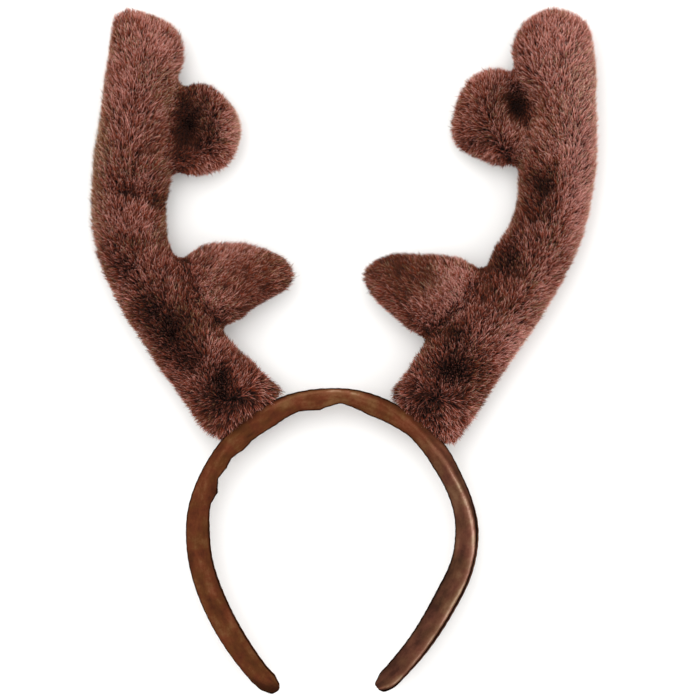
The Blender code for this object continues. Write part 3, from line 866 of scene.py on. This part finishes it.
def pile_tree(plush):
    """The nodes that grow the pile of one limb on a backing."""
    tree = bpy.data.node_groups.new("plush_pile", "GeometryNodeTree")
    followed = [plush.bl_rna.properties[name] for name in PLUSH_INPUTS]
    rows = [(each.name, "NodeSocketFloat", each.description) for each in followed]
    for name, kind, description in (*OWN_INPUTS, *rows):
        tree.interface.new_socket(name, in_out="INPUT", socket_type=kind, description=description)
    tree.interface.new_socket("Pile", in_out="OUTPUT", socket_type="NodeSocketGeometry")
    given = add_node(tree, "NodeGroupInput").outputs

    # What the backing carries at each root
    kinds = {"limb": "INT", "lie": "FLOAT_VECTOR"}
    limb, lie, shade, stand, reach, cover, tan = (
        add_node(
            tree, "GeometryNodeInputNamedAttribute", {"Name": name},
            data_type=kinds.get(name, "FLOAT"),
        )
        for name in ("limb", "lie", "shade", "stand", "reach", "cover", "tan")
    )

    # Roots on the limb's own part of the backing
    on_limb = add_node(
        tree, "FunctionNodeCompare", {"A": limb, "B": given["Limb"]},
        data_type="INT", operation="EQUAL",
    )
    density = add_node(tree, MATH, (given["Density"], cover), operation="MULTIPLY")
    scatter = add_node(
        tree,
        "GeometryNodeDistributePointsOnFaces",
        {"Mesh": given["Backing"], "Selection": on_limb, "Density": density, "Seed": given["Seed"]},
    )
    out = scatter.outputs["Normal"]
    root = add_node(tree, "GeometryNodeInputPosition")
    tufts_per_metre = add_node(tree, MATH, (1.0, given["Tuft size"]), operation="DIVIDE")
    tufts = add_node(tree, "ShaderNodeTexVoronoi", {"Vector": root, "Scale": tufts_per_metre})
    draws = []
    for number, (kind, least, most) in enumerate(DRAWS, 1):
        seed = add_node(tree, MATH, (given["Seed"], float(number)), operation="ADD")
        limits = {"Min": least, "Max": most, "Seed": seed}
        draws.append(add_node(tree, "FunctionNodeRandomValue", limits, data_type=kind))
    own_way, variety, turned, own_tone, draw = draws

    # The way a strand sweeps: the lie, its own stray and its tuft's, laid along the backing
    stray = add_node(tree, VECTOR_MATH, (own_way, given["Spread"], lie), operation="MULTIPLY_ADD")
    tuft_way = add_node(
        tree, VECTOR_MATH, (tufts.outputs["Color"], (2, 2, 2), (-1, -1, -1)),
        operation="MULTIPLY_ADD",
    )
    towards = add_node(
        tree, VECTOR_MATH, (tuft_way, given["Tuft spread"], stray), operation="MULTIPLY_ADD"
    )
    upwards = add_node(tree, VECTOR_MATH, (towards, out), operation="PROJECT")
    flat = add_node(tree, VECTOR_MATH, (towards, upwards), operation="SUBTRACT")

    # Its length, shared out between sweep and rise
    room = add_node(tree, MATH, (given["Pile length"], reach), operation="MULTIPLY")
    length = add_node(tree, MATH, (room, variety), operation="MULTIPLY")
    lying = add_node(tree, MATH, (1.0, stand), operation="SUBTRACT")
    lean = add_node(tree, MATH, (given["Lean"], lying), operation="MULTIPLY")
    angle = add_node(tree, MATH, (lean,), operation="ARCSINE")
    upright = add_node(tree, MATH, (angle,), operation="COSINE")
    swept = add_node(tree, MATH, (length, lean), operation="MULTIPLY")
    risen = add_node(tree, MATH, (length, upright), operation="MULTIPLY")
    sweep = add_node(tree, VECTOR_MATH, {0: flat, "Scale": swept}, operation="SCALE")
    rise = add_node(tree, VECTOR_MATH, {0: out, "Scale": risen}, operation="SCALE")

    # The pull to the middle of its tuft
    to_tuft = add_node(tree, VECTOR_MATH, (tufts.outputs["Position"], root), operation="SUBTRACT")
    tuft_height = add_node(tree, VECTOR_MATH, (to_tuft, out), operation="PROJECT")
    along_backing = add_node(tree, VECTOR_MATH, (to_tuft, tuft_height), operation="SUBTRACT")
    bent = add_node(
        tree, VECTOR_MATH, (along_backing, given["Gather"], sweep), operation="MULTIPLY_ADD"
    )

    # Its flat side, turned a random way about the strand
    facing = add_node(tree, VECTOR_MATH, (turned, FACING_STRAY, out), operation="MULTIPLY_ADD")
    whole = add_node(tree, VECTOR_MATH, (rise, sweep), operation="ADD")
    crossing = add_node(tree, VECTOR_MATH, (whole, facing), operation="CROSS_PRODUCT")
    unit_side = add_node(tree, VECTOR_MATH, (crossing,), operation="NORMALIZE")
    half_width = add_node(tree, MATH, (given["Strand width"], 0.5), operation="MULTIPLY")
    side = add_node(tree, VECTOR_MATH, {0: unit_side, "Scale": half_width}, operation="SCALE")

    # Its tone: the backing's shade, which holds the painted light and shade, its tuft's and its own,
    # in the lower half if it is reddish
    tuft_parts = add_node(tree, "ShaderNodeSeparateXYZ", {"Vector": tufts.outputs["Color"]})
    tuft_tone = add_node(
        tree, MATH, (tuft_parts.outputs["X"], TUFT_TONE, shade), operation="MULTIPLY_ADD"
    )
    tone = add_node(tree, MATH, (tuft_tone, own_tone), operation="ADD")
    clamped = add_node(tree, "ShaderNodeClamp", {"Value": tone, **TONES})
    is_tan = add_node(tree, MATH, (draw, tan), operation="LESS_THAN")
    both = add_node(tree, MATH, (clamped, is_tan), operation="ADD")
    strand_tone = add_node(tree, MATH, (both, 0.5), operation="MULTIPLY")

    # One strand at each root, its points moved to where the held fields send them
    fields = {"root": root, "rise": rise, "bent": bent, "side": side}
    points = add_node(
        tree, "GeometryNodeCaptureAttribute", {"Geometry": scatter, **fields, "tone": strand_tone},
        held=(*(("VECTOR", name) for name in fields), ("FLOAT", "tone")),
    )
    strand = strand_template(tree)
    planted = add_node(tree, "GeometryNodeInstanceOnPoints", {"Points": points, "Instance": strand})
    strands = add_node(tree, "GeometryNodeRealizeInstances", {"Geometry": planted})
    along = strand.outputs["along"]
    bend = add_node(tree, MATH, (along, BEND_POWER), operation="POWER")
    place = points.outputs["root"]
    for way, share in (("rise", along), ("bent", bend), ("side", strand.outputs["across"])):
        place = add_node(
            tree, VECTOR_MATH, (points.outputs[way], share, place), operation="MULTIPLY_ADD"
        )
    lowest = add_node(tree, "ShaderNodeCombineXYZ", {"X": -1.0, "Y": -1.0, "Z": given["Floor gap"]})
    kept_up = add_node(tree, VECTOR_MATH, (place, lowest), operation="MAXIMUM")
    grown = add_node(tree, "GeometryNodeSetPosition", {"Geometry": strands, "Position": kept_up})
    smooth = add_node(tree, "GeometryNodeSetShadeSmooth", {"Geometry": grown})
    pair = add_node(tree, "ShaderNodeCombineXYZ", {"X": points.outputs["tone"], "Y": along})
    mapped = add_node(
        tree,
        "GeometryNodeStoreNamedAttribute",
        {"Geometry": smooth, "Name": "OFBake", "Value": pair},
        data_type="FLOAT2",
        domain="CORNER",
    )
    dressed = add_node(
        tree, "GeometryNodeSetMaterial", {"Geometry": mapped, "Material": given["Finish"]}
    )
    add_node(tree, "NodeGroupOutput", {"Pile": dressed})
    return tree


def covered_area(mesh, limb):
    """The area of a limb's faces that pile grows on."""
    limbs = values_of(mesh.attributes["limb"].data, "value", int)
    return values_of(mesh.polygons, "area")[limbs == limb].sum()


def make_pile(limb, number, backing, tree, finish, plush):
    """The strands of one limb as one mesh, grown on the faces of the backing with its number."""
    pile = bpy.data.objects.new(f"{limb.node}_pile", backing.data.copy())
    bpy.context.scene.collection.objects.link(pile)
    modifier = pile.modifiers.new("pile", "NODES")
    modifier.node_group = tree
    values = {
        "Limb": number,
        "Density": limb.strands / covered_area(backing.data, number),
        "Seed": limb.seed,
        "Finish": finish,
    }
    for name in PLUSH_INPUTS:
        values[plush.bl_rna.properties[name].name] = getattr(plush, name)
    # A modifier's inputs go by the identifiers of their sockets
    for item in tree.interface.items_tree:
        if item.item_type == "SOCKET" and item.in_out == "INPUT" and item.name in values:
            modifier[item.identifier] = values[item.name]
    return applied(pile)


class HEADBAND_OT_antlers(bpy.types.Operator):
    """Makes the backing and the pile of both antlers"""

    bl_idname = "headband.antlers"
    bl_label = "Plush antlers"

    def execute(self, context):
        plush = context.scene.headband_plush
        tree = pile_tree(plush)
        finish = plush_material(plush)
        ground = backing_material(plush)
        for antler, nodes in ANTLERS.items():
            backing = make_backing(antler, plush)
            for limb in PILES:
                if limb.node in nodes:
                    pile = make_pile(limb, nodes.index(limb.node), backing, tree, finish, plush)
                    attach(pile, "root")
                    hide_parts(limb.node)
            backing.data.materials.append(ground)
            backing.data.shade_smooth()
            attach(backing, "root")
            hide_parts(*nodes)
        return {"FINISHED"}


def sleeve_material(sleeve):
    """Brown woven polyester: dull cloth, with painted highlights and painted shade almost black at
    its edges.
    """
    material, tree = new_material("woven_polyester_sleeve")
    place = add_node(tree, "ShaderNodeTexCoord").outputs["Object"]
    lay = add_node(tree, "ShaderNodeUVMap", uv_map="Sleeve")
    long_way = add_node(
        tree, "ShaderNodeMapping", {"Vector": lay, "Scale": (1 / STREAKS[0], 1 / STREAKS[1], 1)}
    )
    streaks = add_node(
        tree, "ShaderNodeTexNoise", {"Vector": long_way, "Scale": 1.0, "Detail": 3.0}
    )
    blotches = add_node(
        tree,
        "ShaderNodeTexNoise",
        {"Vector": place, "Scale": 1 / BLOTCHES, "Detail": 6.0, "Roughness": 0.8},
    )
    # The cloth's own unevenness, with its painted light and shade laid over it
    tight = add_node(tree, "ShaderNodeAttribute", attribute_name="tight")
    uneven = add_node(tree, MATH, (streaks, blotches), operation="ADD")
    shade = add_node(tree, MATH, (uneven, 0.5, tight.outputs["Fac"]), operation="MULTIPLY_ADD")
    tones = (
        (0.0, sleeve.cloth_edge_shade),
        (0.32, sleeve.cloth_dark_and_shaded),
        (0.5, sleeve.cloth),
        (0.7, sleeve.cloth_pale_and_lit),
        (1.0, sleeve.cloth_ridge_highlight),
    )
    colour = add_node(tree, "ShaderNodeValToRGB", {"Fac": shade}, stops=tones)
    # Dye that has taken redder in some places and greener in others, and the right arm greyed with
    # painted sheen
    patches = add_node(
        tree, "ShaderNodeTexNoise", {"Vector": place, "Scale": 1 / DYE_PATCHES, "Detail": 3.0}
    )
    dye = add_node(
        tree, "ShaderNodeValToRGB", {"Fac": patches},
        stops=((0.38, sleeve.dye_red), (0.62, sleeve.dye_green)),
    )
    taken = add_node(
        tree, "ShaderNodeMix", {"Factor": 1.0, "A": colour, "B": dye},
        data_type="RGBA", blend_type="MULTIPLY",
    )
    faded = add_node(tree, "ShaderNodeAttribute", attribute_name="faded")
    greying = add_node(
        tree, MATH, (faded.outputs["Fac"], -ARM_SHEEN_GREYING, 1.0), operation="MULTIPLY_ADD"
    )
    dyed = add_node(tree, "ShaderNodeHueSaturation", {"Saturation": greying, "Color": taken})
    pitch = 1 / sleeve.thread_spacing
    threads = add_node(tree, "ShaderNodeMapping", {"Vector": lay, "Scale": (pitch, pitch, 1)})
    weave = add_node(tree, "ShaderNodeTexChecker", {"Vector": threads, "Scale": 1.0})
    bump = add_node(
        tree,
        "ShaderNodeBump",
        {"Height": weave.outputs["Fac"], "Strength": 0.25, "Distance": 0.05 * MM},
    )
    shader = add_node(
        tree,
        "ShaderNodeBsdfPrincipled",
        {"Base Color": dyed, "Roughness": 0.9, "Specular IOR Level": 0.0, "Normal": bump},
    )
    add_node(tree, "ShaderNodeOutputMaterial", {"Surface": shader})
    return material


def hoop_sections(places):
    """Each place's degrees round the hoop, way along it and angle round its section."""
    middle, radius = hoop_middle()
    offset = places - np.array(middle)
    # The gap between the hoop's tips is at the bottom, so the angle is counted from there
    turn = np.mod(np.arctan2(offset[:, 1], offset[:, 0]) + math.pi / 2, 2 * math.pi)
    away = np.hypot(offset[:, 0], offset[:, 1])
    bins = np.minimum((turn / (2 * math.pi) * WIDTH_STEPS).astype(int), WIDTH_STEPS - 1)
    filled = [step for step in range(WIDTH_STEPS) if np.any(bins == step)]
    centres = [(step + 0.5) * 2 * math.pi / WIDTH_STEPS for step in filled]
    inner_here = np.interp(turn, centres, [away[bins == step].min() for step in filled])
    outer_here = np.interp(turn, centres, [away[bins == step].max() for step in filled])
    across = (2 * away - inner_here - outer_here) / (outer_here - inner_here)
    low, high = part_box(HOOP)
    rise = offset[:, 2] / ((high.z - low.z) / 2)
    return np.degrees(turn) - 90, turn * radius, np.arctan2(rise, across)


def fold_sleeve(mesh, settings):
    """Moves the sleeve into its folds, wrinkles and ridge, paints its light and shade, and maps the
    cloth on it.
    """
    places = rows_of(mesh.vertices, "co")
    degrees, along, around = hoop_sections(places)
    across, front = np.cos(around), np.sin(around)
    inside = smooth_step(-across, *INSIDE)
    slack = np.interp(degrees, list(SLACKS), [inwards * MM for inwards in SLACKS.values()])
    wave = np.array([noise.noise(Vector((a / WAVER, 0.0, 3.0))) for a in along])
    wrinkles = np.sin(2 * math.pi * along / settings.wrinkle_spacing + WAVER_TURN * wave)
    folds = np.array(
        [
            noise.noise(Vector((FOLD_TURN * math.cos(b), FOLD_TURN * math.sin(b), a / FOLD_LENGTH)))
            for a, b in zip(along, around)
        ]
    )
    billows = np.array([noise.noise(Vector(place) / BILLOWS) for place in places])
    rows = np.array(RIDGES)
    ridge_across = np.interp(degrees, rows[:, 0], rows[:, 1])
    strength = np.interp(degrees, rows[:, 0], rows[:, 2]) * smooth_step(front, *RIDGE_FRONT)
    beyond = (across - ridge_across) * np.where(ridge_across < 0, -1, 1)
    # The ridge line: raised, and painted with a highlight that spreads to its inner side
    line = strength * falloff(beyond, LINE_WIDTH)
    # The groove beyond it: sunk, and painted with shade
    groove = strength * falloff(beyond - GROOVE_AWAY, GROOVE_WIDTH)
    move = (
        slack * inside
        + settings.wrinkle_depth * wrinkles
        + settings.fold_height * (folds + BILLOW_SHARE * billows) * (1 - np.abs(across))
        + settings.ridge_height * (line - groove)
    )
    moved = places + rows_of(mesh.vertex_normals, "vector") * move[:, None]
    mesh.vertices.foreach_set("co", moved.ravel())
    # Painted highlights on the ridge line, inside it and on the crown, painted light and shade on
    # the folds, painted shade in the groove, at the tips and at the rims, and the lower right darker
    shades = {
        "line": line,
        "painted_glow": strength * falloff(beyond, GLOW_WIDTH) * (beyond < 0),
        "groove": groove,
        "folds": folds,
        # The crown, paler with painted light
        "crown": falloff(degrees - CROWN_MIDDLE, CROWN_REACH),
        "lower_right": smooth_step(-degrees, *LOWER_RIGHT),
        # The tips, darker with painted shade
        "end": 1 - smooth_step(places[:, 1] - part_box(HOOP)[0].y, *ENDS),
        "edge": smooth_step(np.abs(across), *EDGE_ACROSS) * smooth_step(front, *EDGE_FRONT),
    }
    tight = CLOTH_TONE + sum(SLEEVE_TONES[name] * shade for name, shade in shades.items())
    store(mesh, "tight", "FLOAT", "POINT", tight)
    # The right arm, greyed with painted sheen
    store(mesh, "faded", "FLOAT", "POINT", 1 - smooth_step(degrees, *SHEEN_GREYED_ARM))
    corners = values_of(mesh.loops, "vertex_index", int)
    cloth_map = mesh.uv_layers.new(name="Sleeve")
    flat = np.column_stack([along, around * HALF_SLEEVE])
    cloth_map.uv.foreach_set("vector", flat[corners].ravel())


class HEADBAND_OT_sleeve(bpy.types.Operator):
    """Makes the cloth sleeve of the hoop"""

    bl_idname = "headband.sleeve"
    bl_label = "Hoop sleeve"

    def execute(self, context):
        settings = context.scene.headband_sleeve
        sleeve = merged_copy("hoop_sleeve", [HOOP])
        offset_and_remesh(sleeve, SLEEVE_GAP, settings.grain, SLEEVE_SMOOTHINGS)
        fold_sleeve(sleeve.data, settings)
        sleeve.data.materials.append(sleeve_material(settings))
        sleeve.data.shade_smooth()
        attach(sleeve, "root")
        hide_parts(HOOP)
        return {"FINISHED"}


def add_area_light(name, place, side, power):
    """A soft square light that looks at the middle of the headband."""
    light = bpy.data.lights.new(name, "AREA")
    light.size = side
    light.energy = power
    lamp = bpy.data.objects.new(name, light)
    lamp.location = place
    lamp.rotation_euler = (-Vector(place)).to_track_quat("-Z", "Y").to_euler()
    bpy.context.scene.collection.objects.link(lamp)


class HEADBAND_OT_stage(bpy.types.Operator):
    """Makes the pale floor, the soft lights and the camera"""

    bl_idname = "headband.stage"
    bl_label = "Stage"

    def execute(self, context):
        stage = context.scene.headband_stage
        scene = context.scene
        floor_mesh = bpy.data.meshes.new("floor")
        sides = (-HALF_FLOOR, HALF_FLOOR)
        corners = [(x, y, 0) for y in sides for x in sides]
        floor_mesh.from_pydata(corners, [], [(0, 1, 3, 2)])
        floor = bpy.data.objects.new("floor", floor_mesh)
        scene.collection.objects.link(floor)
        paint, tree = new_material("matt_white_paint")
        shader = add_node(
            tree, "ShaderNodeBsdfPrincipled", {"Base Color": stage.floor, "Roughness": 0.9}
        )
        add_node(tree, "ShaderNodeOutputMaterial", {"Surface": shader})
        floor_mesh.materials.append(paint)
        for light in LIGHTS:
            add_area_light(light.name, light.place, light.side, getattr(stage, light.power))
        world = bpy.data.worlds.new("white_surround")
        world.use_nodes = True
        scene.world = world
        surround = world.node_tree.nodes["Background"].inputs
        surround["Color"].default_value = (1, 1, 1, 1)
        surround["Strength"].default_value = stage.surround
        camera = bpy.data.cameras.new("camera")
        camera.sensor_width = SENSOR_WIDTH
        middle_height = CAD_BOX[1][2] / 2
        camera.lens = SENSOR_WIDTH * (stage.camera_height - middle_height) / PICTURE_WIDTH
        eye = bpy.data.objects.new("camera", camera)
        eye.location = (PICTURE_MIDDLE_X, 0, stage.camera_height)
        scene.collection.objects.link(eye)
        scene.camera = eye
        scene.view_settings.view_transform = "Standard"
        return {"FINISHED"}


class HEADBAND_PT_panel(bpy.types.Panel):
    """Lists the steps of the headband's finish with their sizes and colours"""

    bl_idname = "HEADBAND_PT_panel"
    bl_label = "Antler headband"
    bl_space_type = "VIEW_3D"
    bl_region_type = "UI"
    bl_category = "Headband"

    def draw(self, context):
        steps = (
            ("headband.antlers", context.scene.headband_plush),
            ("headband.sleeve", context.scene.headband_sleeve),
            ("headband.stage", context.scene.headband_stage),
        )
        for operator, settings in steps:
            box = self.layout.box()
            box.operator(operator)
            for name in settings.bl_rna.properties.keys():
                if name not in {"rna_type", "name"}:
                    box.prop(settings, name)


CLASSES = (
    PlushSettings,
    SleeveSettings,
    StageSettings,
    HEADBAND_OT_antlers,
    HEADBAND_OT_sleeve,
    HEADBAND_OT_stage,
    HEADBAND_PT_panel,
)


def register():
    for each in CLASSES:
        bpy.utils.register_class(each)
    bpy.types.Scene.headband_plush = bpy.props.PointerProperty(type=PlushSettings)
    bpy.types.Scene.headband_sleeve = bpy.props.PointerProperty(type=SleeveSettings)
    bpy.types.Scene.headband_stage = bpy.props.PointerProperty(type=StageSettings)


def unregister():
    del bpy.types.Scene.headband_stage
    del bpy.types.Scene.headband_sleeve
    del bpy.types.Scene.headband_plush
    for each in reversed(CLASSES):
        bpy.utils.unregister_class(each)


def main():
    register()
    bpy.ops.headband.antlers()
    bpy.ops.headband.sleeve()
    bpy.ops.headband.stage()


if __name__ == "__main__":
    main()
